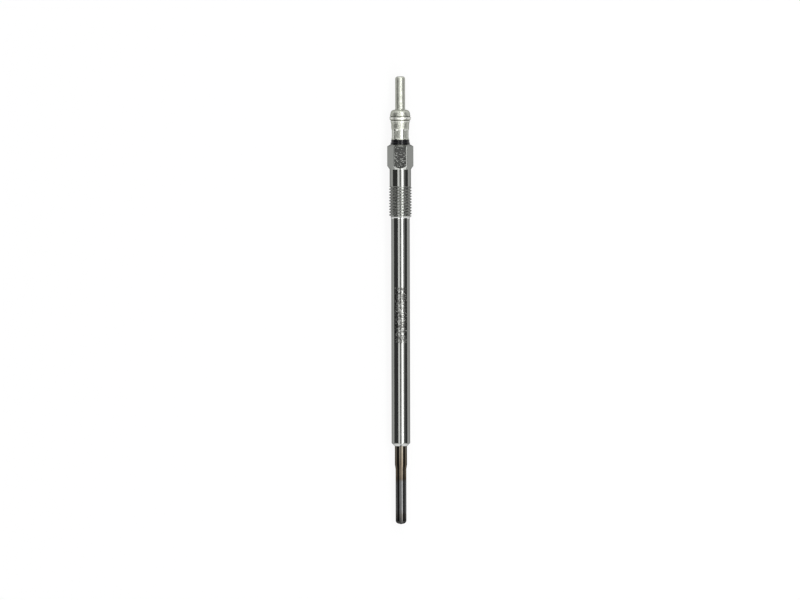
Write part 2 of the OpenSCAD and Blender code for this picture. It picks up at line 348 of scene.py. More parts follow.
@dataclass(frozen=True)
class Flats:
    """Even flats round a turned piece.

    Attributes:
        count: Number of flats.
        distance: Distance of each flat from the axis.
        first: Angle of one flat's middle, in degrees.
        low: Station where the flats begin.
        high: Station where they end.
        edge: Width over which the edge to the turned form is rounded.
        corner: Radius that rounds the corner between two flats.
        slope: Length over which each end of a flat runs out to the turned form.
    """

    count: int
    distance: float
    first: float
    low: float
    high: float
    edge: float
    corner: float = 0.0
    slope: float = 0.0

    def reach(self, off: float) -> float:
        """Gives the distance from the axis to the flats' outline.

        Args:
            off: Angle from the middle of the nearest flat, in radians.

        Returns:
            The distance in that direction.
        """
        half = math.pi / self.count
        inner = self.distance - self.corner
        if self.distance * math.tan(abs(off)) <= inner * math.tan(half):
            return self.distance / math.cos(off)
        centre, away = inner / math.cos(half), half - abs(off)
        return centre * math.cos(away) + math.sqrt(self.corner**2 - (centre * math.sin(away)) ** 2)

    def press(self, piece: Solid) -> None:
        """Presses the flats into a piece, with a rounded edge.

        Args:
            piece: The piece, in millimetres about the Z axis.
        """
        spread = math.tau / self.count
        for vertex in piece.data.vertices:
            radius = vertex.co.xy.length
            if not self.low <= vertex.co.z <= self.high or radius < self.distance / 2:
                continue
            angle = math.atan2(vertex.co.y, vertex.co.x) - math.radians(self.first)
            flat = self.reach((angle + spread / 2) % spread - spread / 2)
            inset = min(vertex.co.z - self.low, self.high - vertex.co.z)
            if inset < self.slope:
                flat = max(flat, radius - (radius - self.distance) * inset / self.slope)
            overlap = max(self.edge - abs(radius - flat), 0.0)
            pressed = min(radius, flat) - overlap**2 / (4 * self.edge)
            vertex.co.xy = vertex.co.xy * (pressed / radius)


class Value:
    """A number on a node's socket. Its operators add Math nodes."""

    def __init__(self, graph: Graph, socket: Socket) -> None:
        """Wraps a socket of a graph."""
        self.graph = graph
        self.socket = socket

    def _math(self, operation: str, first: Number, second: Number = 0.0) -> Value:
        """Adds a Math node and gives its result."""
        node = self.graph.node("ShaderNodeMath", {"operation": operation}, {0: first, 1: second})
        return Value(self.graph, node.outputs[0])

    def __add__(self, other: Number) -> Value:
        """Adds a number."""
        return self._math("ADD", self, other)

    def __radd__(self, other: Number) -> Value:
        """Adds to a number."""
        return self._math("ADD", other, self)

    def __sub__(self, other: Number) -> Value:
        """Takes a number away."""
        return self._math("SUBTRACT", self, other)

    def __rsub__(self, other: Number) -> Value:
        """Takes this away from a number."""
        return self._math("SUBTRACT", other, self)

    def __mul__(self, other: Number) -> Value:
        """Multiplies by a number."""
        return self._math("MULTIPLY", self, other)

    def __rmul__(self, other: Number) -> Value:
        """Multiplies a number."""
        return self._math("MULTIPLY", other, self)

    def __truediv__(self, other: Number) -> Value:
        """Divides by a number."""
        return self._math("DIVIDE", self, other)

    def __rtruediv__(self, other: Number) -> Value:
        """Divides a number by this."""
        return self._math("DIVIDE", other, self)

    def __neg__(self) -> Value:
        """Turns the sign round."""
        return self._math("MULTIPLY", self, -1.0)

    def centred(self) -> Value:
        """Gives a number from 0 to 1 as one from -0.5 to 0.5."""
        return self - 0.5

    def under(self, limit: Number) -> Value:
        """Gives 1 where the number lies under a limit, and 0 elsewhere."""
        return self._math("LESS_THAN", self, limit)

    def fold(self, half: float) -> Value:
        """Gives the distance from the nearest multiple of twice a number."""
        return self._math("PINGPONG", self, half)

    def angle_to(self, across: Value) -> Value:
        """Gives the angle whose tangent is this number over another one."""
        return self._math("ARCTAN2", self, across)

    def rise(self, low: float, high: float) -> Value:
        """Gives a smooth step from 0 at low to 1 at high."""
        node = self.graph.node(
            "ShaderNodeMapRange",
            {"interpolation_type": "SMOOTHSTEP"},
            {"Value": self, "From Min": low, "From Max": high},
        )
        return Value(self.graph, node.outputs[0])

    def within(self, low: float, high: float, edge: float) -> Value:
        """Gives 1 between two limits, with soft edges."""
        return self.rise(low - edge, low + edge) * (1 - self.rise(high - edge, high + edge))

    def within_any(self, spans: Sequence[Point], edge: float) -> Value:
        """Gives 1 in each of several spans that lie apart, with soft edges."""
        return sum((self.within(*span, edge) for span in spans), start=0.0)


class Graph:
    """The node tree of one material."""

    def __init__(self, name: str) -> None:
        """Makes an empty material.

        Args:
            name: Name of the material.
        """
        self.material = bpy.data.materials.new(name)
        self.material.use_nodes = True
        self.tree = self.material.node_tree
        self.tree.nodes.clear()

    def node(
        self,
        kind: str,
        settings: Mapping[str, Any] | None = None,
        inputs: Mapping[int | str, Any] | None = None,
    ) -> bpy.types.Node:
        """Adds a node.

        Args:
            kind: Blender's name of the node type.
            settings: Properties that are set first, and a ramp's stops.
            inputs: Values or links of its sockets.

        Returns:
            The new node.
        """
        node = self.tree.nodes.new(kind)
        for name, setting in (settings or {}).items():
            if name == "stops":
                self._set_stops(node.color_ramp.elements, setting)
            else:
                setattr(node, name, setting)
        for name, given in (inputs or {}).items():
            source = given.socket if isinstance(given, Value) else given
            if isinstance(source, Socket):
                self.tree.links.new(source, node.inputs[name])
            else:
                node.inputs[name].default_value = source
        return node

    @staticmethod
    def _set_stops(elements: Any, stops: Sequence[tuple[float, Colour]]) -> None:
        """Gives a colour ramp its stops.

        Args:
            elements: The ramp's own list of stops.
            stops: Place and colour of each stop.
        """
        while len(elements) < len(stops):
            elements.new(1.0)
        for element, (place, colour) in zip(elements, stops):
            element.position = place
            element.color = colour

    def plug_space(self, axis: RestingAxis) -> Socket:
        """Gives a point in millimetres about the plug's axis, with the tip at zero.

        Args:
            axis: Where the plug lies.

        Returns:
            The point.
        """
        back = axis.matrix().inverted()
        source = self.node("ShaderNodeTexCoord")
        mapping = self.node(
            "ShaderNodeMapping",
            {"vector_type": "POINT"},
            {
                "Vector": source.outputs["Object"],
                "Location": back.translation,
                "Rotation": back.to_euler(),
                "Scale": back.to_scale(),
            },
        )
        return mapping.outputs["Vector"]

    def parts(self, vector: Socket) -> list[Value]:
        """Splits a vector into its three numbers."""
        node = self.node("ShaderNodeSeparateXYZ", {}, {0: vector})
        return [Value(self, socket) for socket in node.outputs]

    def distance_from_axis(self, plug: Socket) -> Value:
        """Gives the distance of a point from the plug's axis.

        Args:
            plug: A point about the axis.

        Returns:
            The distance in millimetres.
        """
        flat = self.stretched(plug, (1.0, 1.0, 0.0))
        node = self.node("ShaderNodeVectorMath", {"operation": "LENGTH"}, {0: flat})
        return Value(self, node.outputs["Value"])

    def stretched(self, vector: Socket, scale: Sequence[float]) -> Socket:
        """Scales a vector along its three directions."""
        node = self.node("ShaderNodeVectorMath", {"operation": "MULTIPLY"}, {0: vector, 1: scale})
        return node.outputs["Vector"]

    def noise(self, vector: Socket, scale: float, detail: float) -> Value:
        """Gives soft noise from 0 to 1, with a number of waves for each millimetre."""
        node = self.node(
            "ShaderNodeTexNoise",
            {"noise_dimensions": "3D"},
            {"Vector": vector, "Scale": scale, "Detail": detail},
        )
        return Value(self, node.outputs[0])

    def drawn_noise(self, vector: Socket, scale: Sequence[float], detail: float) -> Value:
        """Gives soft noise with a number of waves of its own in each direction."""
        return self.noise(self.stretched(vector, scale), 1.0, detail)

    def mix(self, share: Number, first: Any, second: Any) -> Socket:
        """Mixes two colours."""
        node = self.node("ShaderNodeMix", {"data_type": "RGBA"}, {0: share, 6: first, 7: second})
        return node.outputs[2]

    def ramp(self, share: Value, stops: Sequence[tuple[float, Colour]]) -> Socket:
        """Runs a number through a colour ramp."""
        return self.node("ShaderNodeValToRGB", {"stops": stops}, {0: share}).outputs[0]

    def surface(self, inputs: Mapping[str, Any], height: Value) -> bpy.types.Material:
        """Ends the tree in a surface with a relief.

        Args:
            inputs: Sockets of the surface's shader.
            height: Height of the relief, in millimetres.

        Returns:
            The finished material.
        """
        bump = self.node("ShaderNodeBump", {}, {"Distance": MM, "Height": height})
        sockets = {**inputs, "Normal": bump.outputs["Normal"]}
        shader = self.node("ShaderNodeBsdfPrincipled", {}, sockets)
        self.node("ShaderNodeOutputMaterial", {}, {"Surface": shader.outputs[0]})
        return self.material


class Finish:
    """What a surface is made of, in one material slot of the record."""

    slot: Slot

    def paint(self, graph: Graph, plug: Socket) -> bpy.types.Material:
        """Fills an empty material, from a point about the plug's axis."""
        raise NotImplementedError

    def material(self, axis: RestingAxis) -> bpy.types.Material:
        """Makes the material for the plug as it lies."""
        graph = Graph(self.slot.value)
        return self.paint(graph, graph.plug_space(axis))


@dataclass(frozen=True)
class Stipple:
    """A patch of small random pits and dull spots on the side that lies uppermost.

    Attributes:
        low: Station where the patch begins.
        high: Station where it ends.
        half_angle: Half of its width round the axis, in degrees.
        cell: Distance between pits.
        depth: Depth of a pit.
        share: Share of the cells that have a pit.
        waves: Height of the soft waves between the pits.
        spots: Dull spots for each millimetre.
        stain: Share of dark film in a dull spot.
        blur: Roughness that the patch adds.
        swell: Soft waves for each millimetre, in the relief and along the ragged edge.
        fray: How far the edge wanders, in millimetres along the axis and in radians round it.
        edge: How far the edge fades out, in the same two measures.
        pit_wall: Where a pit's wall starts and ends, as a share of its cell.
        spot_wall: Noise at which a dull spot starts and at which it is full.
    """

    low: float
    high: float
    half_angle: float
    cell: float
    depth: float
    share: float
    waves: float
    spots: float
    stain: float
    blur: float
    swell: float = 1.1
    fray: Point = (0.5, 0.3)
    edge: Point = (0.15, 0.06)
    pit_wall: Point = (0.1, 0.46)
    spot_wall: Point = (0.44, 0.54)

    def mask(self, graph: Graph, plug: Socket) -> Value:
        """Finds the patch, with a ragged edge.

        Args:
            graph: The material's nodes.
            plug: A point about the plug's axis.

        Returns:
            A number that is 1 inside the patch and 0 outside.
        """
        x, y, station = graph.parts(plug)
        wander = graph.noise(plug, self.swell, detail=3.0).centred()
        angle = x.angle_to(-y)
        half = math.radians(self.half_angle)
        along = (station + wander * self.fray[0]).within(self.low, self.high, self.edge[0])
        return along * (angle + wander * self.fray[1]).within(-half, half, self.edge[1])

    def pits(self, graph: Graph, plug: Socket) -> Value:
        """Scatters the pits.

        Args:
            graph: The material's nodes.
            plug: A point about the plug's axis.

        Returns:
            A number that is 1 in the pits and 0 between them.
        """
        cells = graph.node(
            "ShaderNodeTexVoronoi",
            {"voronoi_dimensions": "3D", "feature": "F1"},
            {"Vector": plug, "Scale": 1.0 / self.cell},
        )
        pick = graph.parts(cells.outputs["Color"])[0].under(self.share)
        return (1 - Value(graph, cells.outputs["Distance"]).rise(*self.pit_wall)) * pick

    def relief(self, graph: Graph, plug: Socket, pits: Value) -> Value:
        """Gives the height of the patch's waves and pits, in millimetres."""
        wave = graph.noise(plug, self.swell, detail=1.0).centred()
        return wave * self.waves - pits * self.depth

    def film(self, graph: Graph, plug: Socket) -> Value:
        """Gives the share of dark film, which lies in the dull spots."""
        return graph.noise(plug, self.spots, detail=2.0).rise(*self.spot_wall) * self.stain


@dataclass(frozen=True)
class BrightSteel(Finish):
    """Bright plated steel, finely turned, with stippled patches, rolled flanks whose light colour
    is partly painted light in the grooves, and a film on the crests that is partly painted shade.

    Attributes:
        patches: The stippled patches.
        groove: Lowest and highest station of the thread and its flanks.
        groove_edge: How far their colour fades out at both ends.
        groove_r: Radius up to which a flank has its colour and the radius where that ends.
        crest_film_and_shade: Share of the film on the crests, which is partly painted shade for the
            shaded floor that they reflect.
        cuts: Lowest and highest stations of the freshly cut seat and lead-in.
        cut_edge: How far their colour fades out.
        dark: Colour of the dull streaks.
        light: Colour of the clean streaks.
        bare: Colour of the fresh cuts.
        rolled_and_lit: Colour of the thread's flanks, which are rolled bright and lightened further
            as painted light against the groove's shade.
        film: Colour of the film in the dull spots and on the crests.
        rim_tint: Grey that tints the steel where it turns away from the eye.
        smudges: Smudges for each millimetre.
        streaks: Streaks for each millimetre, across and along the plug.
        rings: Turning marks for each millimetre, across and along the plug.
        streak_share: Share of the streaks in the colour. The smudges have the rest.
        streak_height: Height of the streaks.
        ring_height: Height of the turning marks.
        polish: Roughness of the clean steel.
        smudge_wall: Noise at which a smudge starts and at which it is full.
        smudge_blur: Roughness that a smudge adds.
        pit_blur: Roughness that a pit adds.
        rolled_blur: Roughness that a flank adds.
    """

    slot: ClassVar[Slot] = Slot.HOUSING_STEEL
    patches: tuple[Stipple, ...]
    groove: Point = (107.7, 118.1)
    groove_edge: float = 0.2
    groove_r: Point = (3.7, 3.88)
    # The film on the crests is partly painted shade: it darkens the teeth as if they reflected a
    # shaded floor.
    crest_film_and_shade: float = 0.25
    cuts: tuple[Point, ...] = ((27.0, 28.15), (106.9, 107.75))
    cut_edge: float = 0.06
    dark: Colour = (0.243, 0.249, 0.236, 1.0)
    light: Colour = (0.324, 0.332, 0.315, 1.0)
    bare: Colour = (0.66, 0.67, 0.65, 1.0)
    # Lighter flanks low in the thread's grooves: partly rolled bright metal, partly painted light
    # that lifts the groove's shade.
    rolled_and_lit: Colour = (0.54, 0.55, 0.53, 1.0)
    film: Colour = (0.08, 0.08, 0.075, 1.0)
    rim_tint: Colour = grey(0.4)
    smudges: float = 0.16
    streaks: tuple[float, ...] = (2.4, 2.4, 0.035)
    rings: tuple[float, ...] = (0.02, 0.02, 7.0)
    streak_share: float = 0.6
    streak_height: float = 0.002
    ring_height: float = 0.0012
    polish: float = 0.08
    smudge_wall: Point = (0.35, 0.75)
    smudge_blur: float = 0.06
    pit_blur: float = 0.12
    rolled_blur: float = 0.18

    def paint(self, graph: Graph, plug: Socket) -> bpy.types.Material:
        """Fills an empty material.

        Args:
            graph: The material's nodes.
            plug: A point about the plug's axis.

        Returns:
            The finished material.
        """
        station = graph.parts(plug)[2]
        smudge = graph.noise(plug, self.smudges, detail=4.0)
        streak = graph.drawn_noise(plug, self.streaks, detail=4.0)
        ring = graph.drawn_noise(plug, self.rings, detail=2.0)
        relief = ring.centred() * self.ring_height + streak.centred() * self.streak_height
        low_in_groove = 1 - graph.distance_from_axis(plug).rise(*self.groove_r)
        threaded = station.within(*self.groove, self.groove_edge)
        rolled_and_lit = threaded * low_in_groove
        # A film darkens the thread's crests, partly as painted shade.
        film = (threaded - rolled_and_lit) * self.crest_film_and_shade
        rough = smudge.rise(*self.smudge_wall) * self.smudge_blur
        rough = rough + rolled_and_lit * self.rolled_blur + self.polish
        for patch in self.patches:
            mask = patch.mask(graph, plug)
            pits = patch.pits(graph, plug) * mask
            relief = relief + patch.relief(graph, plug, pits) * mask
            film = patch.film(graph, plug) * mask + film
            rough = pits * self.pit_blur + mask * patch.blur + rough
        shine = streak * self.streak_share + smudge * (1 - self.streak_share)
        colour = graph.mix(shine, self.dark, self.light)
        # Lightens the thread's flanks: partly rolled metal, partly painted light in the grooves.
        colour = graph.mix(rolled_and_lit, colour, self.rolled_and_lit)
        colour = graph.mix(station.within_any(self.cuts, self.cut_edge), colour, self.bare)
        return graph.surface(
            {
                "Base Color": graph.mix(film, colour, self.film),
                "Metallic": 1.0,
                "Specular Tint": self.rim_tint,
                "Roughness": rough,
            },
            relief,
        )


@dataclass(frozen=True)
class SatinNickel(Finish):
    """Satin nickel plate with a soft mottle, burnished edges and painted shade in the grooves.

    Attributes:
        crimp: The crimped flats.
        skirt_r: Radius of the skirt that they are pressed into.
        rubbed: Lowest and highest stations of the rings that are rubbed bright.
        rubbed_edge: How far a rubbed ring fades out.
        painted_shade_bands: Lowest and highest stations of the grooves that get painted shade.
        painted_shade_edge: How far the painted shade fades out.
        dull: Colour of the dull spots.
        clean: Colour of the clean plate.
        pressed: Colour of the crimped flats.
        burnish: Colour of the rubbed edges.
        painted_shade: Colour of the painted shade in the grooves.
        rim_tint: Grey that tints the plate where it turns away from the eye.
        edge: Width of the rubbed edge beside a flat, in radians.
        flat_edge: How far a flat's colour fades out at its ends.
        lip_edge: How far the rubbed upper end of a flat fades out.
        burnish_share: Share of the rubbed colour.
        painted_shade_share: Share of the painted shade.
        mottles: Mottled spots for each millimetre.
        mottle_wall: Noise at which a clean spot starts and at which it is full.
        mottle_height: Height of the mottle.
        grains: Grains for each millimetre.
        grain_height: Height of the grain.
        satin: Least roughness of the plate.
        mottle_blur: Roughness that the mottle adds.
        edge_polish: Roughness that the rubbed edges lose.
    """

    slot: ClassVar[Slot] = Slot.TERMINAL_NICKEL
    crimp: Flats
    skirt_r: float = SKIRT_R
    rubbed: tuple[Point, ...] = ((141.75, 142.35), (140.75, 141.0))
    rubbed_edge: float = 0.1
    # Painted shade: the grooves above and below the bead are darkened where shade falls.
    painted_shade_bands: tuple[Point, ...] = ((142.55, 142.8), (141.3, 141.5))
    painted_shade_edge: float = 0.08
    dull: Colour = (0.455, 0.468, 0.413, 1.0)
    clean: Colour = (0.555, 0.568, 0.507, 1.0)
    pressed: Colour = (0.62, 0.636, 0.57, 1.0)
    burnish: Colour = (0.95, 0.95, 0.91, 1.0)
    painted_shade: Colour = (0.14, 0.14, 0.125, 1.0)
    rim_tint: Colour = grey(0.15)
    edge: float = 0.1
    flat_edge: float = 0.1
    lip_edge: float = 0.06
    burnish_share: float = 0.6
    painted_shade_share: float = 0.7
    mottles: float = 1.3
    mottle_wall: Point = (0.3, 0.7)
    mottle_height: float = 0.01
    grains: float = 5.0
    grain_height: float = 0.012
    satin: float = 0.36
    mottle_blur: float = 0.14
    edge_polish: float = 0.2

    def crimp_marks(self, graph: Graph, plug: Socket) -> tuple[Value, Value]:
        """Finds the crimped flats.

        Args:
            graph: The material's nodes.
            plug: A point about the plug's axis.

        Returns:
            A number that is 1 on each flat, and one that is 1 along its sides and upper edge.
        """
        x, y, station = graph.parts(plug)
        flats = self.crimp
        off = (y.angle_to(x) - math.radians(flats.first)).fold(math.pi / flats.count)
        side = math.acos(flats.distance / self.skirt_r)
        inside = 1 - off.rise(side - self.edge / 2, side + self.edge / 2)
        beside = off.within(side, side + self.edge, self.edge / 3)
        above = station.within(flats.high - flats.slope, flats.high, self.lip_edge)
        level = station.within(flats.low, flats.high - flats.slope, self.flat_edge)
        along = station.within(flats.low, flats.high, self.flat_edge)
        return inside * level, beside * along + above * inside

    def paint(self, graph: Graph, plug: Socket) -> bpy.types.Material:
        """Fills an empty material.

        Args:
            graph: The material's nodes.
            plug: A point about the plug's axis.

        Returns:
            The finished material.
        """
        station = graph.parts(plug)[2]
        mottle = graph.noise(plug, self.mottles, detail=4.0)
        grain = graph.noise(plug, self.grains, detail=2.0)
        rubbed = station.within_any(self.rubbed, self.rubbed_edge)
        # Darkens the grooves beside the bead: painted shade.
        painted_shade_bands = station.within_any(self.painted_shade_bands, self.painted_shade_edge)
        pressed, edges = self.crimp_marks(graph, plug)
        plate = graph.mix(mottle.rise(*self.mottle_wall), self.dull, self.clean)
        plate = graph.mix(pressed, plate, self.pressed)
        plate = graph.mix((edges + rubbed) * self.burnish_share, plate, self.burnish)
        return graph.surface(
            {
                "Base Color": graph.mix(painted_shade_bands * self.painted_shade_share, plate, self.painted_shade),
                "Metallic": 1.0,
                "Specular Tint": self.rim_tint,
                "Roughness": self.satin + mottle * self.mottle_blur - edges * self.edge_polish,
            },
            grain * self.grain_height + mottle * self.mottle_height,
        )


@dataclass(frozen=True)
class TintedAlloy(Finish):
    """Dark nickel alloy, tinted by heat along the tube.

    Attributes:
        tube_len: Length of the tube.
        tints: Station and colour of each tint.
        soot: Colour of the dull streaks.
        soot_share: Share of the soot in a streak.
        rim_tint: Grey that tints the alloy where it turns away from the eye.
        clouds: Cloudy spots for each millimetre.
        drift: How far the clouds shift the tints along the tube.
        streaks: Streaks for each millimetre, across and along the tube.
        streak_wall: Noise at which a streak starts and at which it is full.
        streak_height: Height of the streaks.
        cloud_height: Height of the clouds.
        polish: Least roughness of the alloy.
        cloud_blur: Roughness that the clouds add.
    """

    slot: ClassVar[Slot] = Slot.HEATER_ALLOY
    tube_len: float = TUBE_LEN
    tints: tuple[tuple[float, Colour], ...] = (
        (0.0, (0.026, 0.026, 0.025, 1.0)),
        (1.4, (0.055, 0.054, 0.052, 1.0)),
        (3.2, (0.09, 0.084, 0.076, 1.0)),
        (5.0, (0.126, 0.126, 0.126, 1.0)),
        (14.9, (0.127, 0.128, 0.129, 1.0)),
        (15.8, (0.1, 0.079, 0.057, 1.0)),
        (17.5, (0.142, 0.116, 0.086, 1.0)),
        (21.0, (0.13, 0.106, 0.078, 1.0)),
        (27.0, (0.152, 0.136, 0.11, 1.0)),
    )
    soot: Colour = grey(0.05)
    soot_share: float = 0.3
    rim_tint: Colour = grey(0.0)
    clouds: float = 0.55
    drift: float = 2.2
    streaks: tuple[float, ...] = (3.0, 3.0, 0.1)
    streak_wall: Point = (0.35, 0.75)
    streak_height: float = 0.004
    cloud_height: float = 0.006
    polish: float = 0.04
    cloud_blur: float = 0.05

    def paint(self, graph: Graph, plug: Socket) -> bpy.types.Material:
        """Fills an empty material.

        Args:
            graph: The material's nodes.
            plug: A point about the plug's axis.

        Returns:
            The finished material.
        """
        station = graph.parts(plug)[2]
        cloud = graph.noise(plug, self.clouds, detail=4.0)
        streak = graph.drawn_noise(plug, self.streaks, detail=3.0)
        stops = [(place / self.tube_len, colour) for place, colour in self.tints]
        tint = graph.ramp((station + cloud.centred() * self.drift) / self.tube_len, stops)
        sooty = streak.rise(*self.streak_wall) * self.soot_share
        return graph.surface(
            {
                "Base Color": graph.mix(sooty, tint, self.soot),
                "Metallic": 1.0,
                "Specular Tint": self.rim_tint,
                "Roughness": self.polish + cloud * self.cloud_blur,
            },
            streak * self.streak_height + cloud * self.cloud_height,
        )


@dataclass(frozen=True)
class GlossMoulding(Finish):
    """Glossy black moulding with a faint skin.

    Attributes:
        colour: Colour of the moulding.
        worn: Colour of the worn spots.
        spots: Spots of the skin for each millimetre.
        worn_wall: Noise at which a worn spot starts and at which it is full.
        gloss: Strength of the reflections.
        polish: Least roughness.
        skin_blur: Roughness that the skin adds.
        skin_height: Height of the skin.
    """

    slot: ClassVar[Slot] = Slot.INSULATOR_PLASTIC
    colour: Colour = (0.006, 0.006, 0.007, 1.0)
    worn: Colour = (0.016, 0.016, 0.018, 1.0)
    spots: float = 2.5
    worn_wall: Point = (0.5, 0.8)
    gloss: float = 0.26
    polish: float = 0.06
    skin_blur: float = 0.07
    skin_height: float = 0.004

    def paint(self, graph: Graph, plug: Socket) -> bpy.types.Material:
        """Fills an empty material, from a point about the plug's axis."""
        skin = graph.noise(plug, self.spots, detail=3.0)
        return graph.surface(
            {
                "Base Color": graph.mix(skin.rise(*self.worn_wall), self.colour, self.worn),
                "Roughness": self.polish + skin * self.skin_blur,
                "Specular IOR Level": self.gloss,
            },
            skin * self.skin_height,
        )


@dataclass(frozen=True)
class DrawnMetal(Finish):
    """Drawn wire or rod with fine lines along it.

    Attributes:
        slot: Material slot of the record.
        dull: Colour of the dull lines.
        bright: Colour of the bright lines.
        lines: Lines for each millimetre, across and along the plug.
        polish: Least roughness.
        line_blur: Roughness that the lines add.
        line_height: Height of the lines.
    """

    slot: Slot
    dull: Colour
    bright: Colour
    lines: tuple[float, ...] = (4.0, 4.0, 0.3)
    polish: float = 0.3
    line_blur: float = 0.15
    line_height: float = 0.004

    def paint(self, graph: Graph, plug: Socket) -> bpy.types.Material:
        """Fills an empty material, from a point about the plug's axis."""
        line = graph.drawn_noise(plug, self.lines, detail=3.0)
        return graph.surface(
            {
                "Base Color": graph.mix(line, self.dull, self.bright),
                "Metallic": 1.0,
                "Roughness": self.polish + line * self.line_blur,
            },
            line * self.line_height,
        )


@dataclass(frozen=True)
class SoftFill(Finish):
    """Pressed powder or moulded rubber, dull and grainy.

    Attributes:
        slot: Material slot of the record.
        dark: Colour of the dark grains.
        light: Colour of the light grains.
        grains: Grains for each millimetre.
        roughness: Least roughness.
        grain_blur: Roughness that the grain adds.
        grain_height: Height of the grain.
    """

    slot: Slot
    dark: Colour
    light: Colour
    grains: float
    roughness: float
    grain_blur: float = 0.1
    grain_height: float = 0.01

    def paint(self, graph: Graph, plug: Socket) -> bpy.types.Material:
        """Fills an empty material, from a point about the plug's axis."""
        grain = graph.noise(plug, self.grains, detail=4.0)
        return graph.surface(
            {
                "Base Color": graph.mix(grain, self.dark, self.light),
                "Roughness": self.roughness + grain * self.grain_blur,
            },
            grain * self.grain_height,
        )


@dataclass
class Piece:
    """A modelled piece that stands for one solid of the frame.

    Attributes:
        node: Name of the solid that it stands for.
        finish: Its surface.
    """

    node: str
    finish: Finish

    @property
    def slot(self) -> Slot:
        """Material slot of the piece's finish."""
        return self.finish.slot

    def shape(self) -> Solid:
        """Models the piece in millimetres about the Z axis."""
        raise NotImplementedError

    def build(self, axis: RestingAxis) -> Solid:
        """Models the piece, lays it in its place and dresses it.

        Args:
            axis: Where the plug lies.

        Returns:
            The finished piece.
        """
        piece = self.shape()
        Lathe.lay_down(piece, axis)
        piece.data.materials.clear()
        piece.data.materials.append(self.finish.material(axis))
        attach(piece, ROOT_BODY)
        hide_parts(self.node)
        self.slot.value
        return piece


@dataclass(frozen=True)
class Thread:
    """The helix of the M8 x 1 thread.

    Attributes:
        crest_r: Radius of the crests.
        depth: Depth of the groove.
        pitch: Distance from crest to crest.
        flank_angle: Slope of a flank from square to the axis.
        crest_flat: Width of a crest.
        root_round: Rounding at the bottom of the groove.
        crest_round: Rounding of the crests.
        round_steps: Straight pieces in each rounding.
        low: Station where the thread begins.
        high: Station where it ends at the neck.
        first_crest: Station of the first crest on the X axis.
        lead_drop: How far the lead-in starts under the bottom of the groove.
        low_stub: Length of the bar that is left below the thread, inside the shank.
        high_stub: Length of the bar that is left above it, inside the neck.
        least_r: Least radius of the bar.
        spare_turns: Turns beyond each end, which are cut off.
        steps: Faces in each turn.
    """

    crest_r: float = 3.91
    depth: float = 0.6
    pitch: float = 1.0
    flank_angle: float = math.radians(27)
    crest_flat: float = 0.36
    root_round: float = 0.02
    crest_round: float = 0.08
    round_steps: int = 3
    low: float = 107.2
    high: float = 118.244
    first_crest: float = 107.68
    lead_drop: float = 0.03
    low_stub: float = 0.15
    high_stub: float = 0.25
    least_r: float = 1.0
    spare_turns: int = 2
    steps: int = 120

    @property
    def root_r(self) -> float:
        """Radius at the bottom of the groove."""
        return self.crest_r - self.depth

    def tooth(self, start: float) -> list[Point]:
        """Draws one tooth, from the middle of a groove to the middle of the next one.

        Args:
            start: Station of the first groove.

        Returns:
            The points of its outline.
        """
        flank = self.depth * math.tan(self.flank_angle)
        side = (self.pitch - self.crest_flat) / 2
        corners = [
            Corner(self.root_r, start),
            Corner(self.root_r, start + side - flank, self.root_round),
            Corner(self.crest_r, start + side, self.crest_round),
            Corner(self.crest_r, start + side + self.crest_flat, self.crest_round),
            Corner(self.root_r, start + self.pitch - side + flank, self.root_round),
            Corner(self.root_r, start + self.pitch),
        ]
        return soften(corners, self.round_steps)

    def reach(self, station: float) -> float:
        """Gives the radius that the end chamfers leave at a station.

        Args:
            station: The station.

        Returns:
            The largest radius there.
        """
        lead = self.root_r - self.lead_drop + (station - self.low)
        run_out = NECK_R + (self.high - station)
        return max(min(self.crest_r, lead, run_out), self.least_r)

    def shape(self) -> Solid:
        """Models the thread as a solid bar with chamfered ends.

        Returns:
            The bar.
        """
        turns_before = math.ceil((self.first_crest - self.low) / self.pitch) + self.spare_turns
        turns_after = math.ceil((self.high - self.first_crest) / self.pitch) + self.spare_turns
        start = self.first_crest - self.pitch / 2 - turns_before * self.pitch
        bar = Lathe.wire("thread", self.tooth(start))
        bpy.ops.object.mode_set(mode="OBJECT")
        helix = bar.modifiers.new("Helix", "SCREW")
        helix.axis = "Z"
        helix.angle = math.tau
        helix.screw_offset = self.pitch
        helix.iterations = turns_before + turns_after
        helix.steps = helix.render_steps = self.steps
        helix.use_merge_vertices = True
        helix.merge_threshold = MERGE_MM
        Lathe.take(bar)
        bpy.ops.object.modifier_apply(modifier=helix.name)
        for vertex in bar.data.vertices:
            radius = vertex.co.xy.length
            vertex.co.xy = vertex.co.xy * (min(radius, self.reach(vertex.co.z)) / radius)
        bpy.ops.object.mode_set(mode="EDIT")
        Lathe.merge_doubles(MERGE_MM)
        ends = ((self.low - self.low_stub, 1.0), (self.high + self.high_stub, -1.0))
        for station, facing in ends:
            bpy.ops.mesh.select_all(action="SELECT")
            bpy.ops.mesh.bisect(
                plane_co=(0, 0, station), plane_no=(0, 0, facing), use_fill=True, clear_inner=True
            )
        Lathe.close()
        return bar


SHANK_STIPPLE = Stipple(
    low=63.5,
    high=83.2,
    half_angle=40.0,
    cell=0.44,
    depth=0.055,
    share=0.65,
    waves=0.016,
    spots=1.7,
    stain=0.9,
    blur=0.1,
)
HEX_STIPPLE = Stipple(
    low=124.5,
    high=132.5,
    half_angle=29.0,
    cell=0.42,
    depth=0.02,
    share=0.45,
    waves=0.003,
    spots=1.8,
    stain=0.12,
    blur=0.03,
)


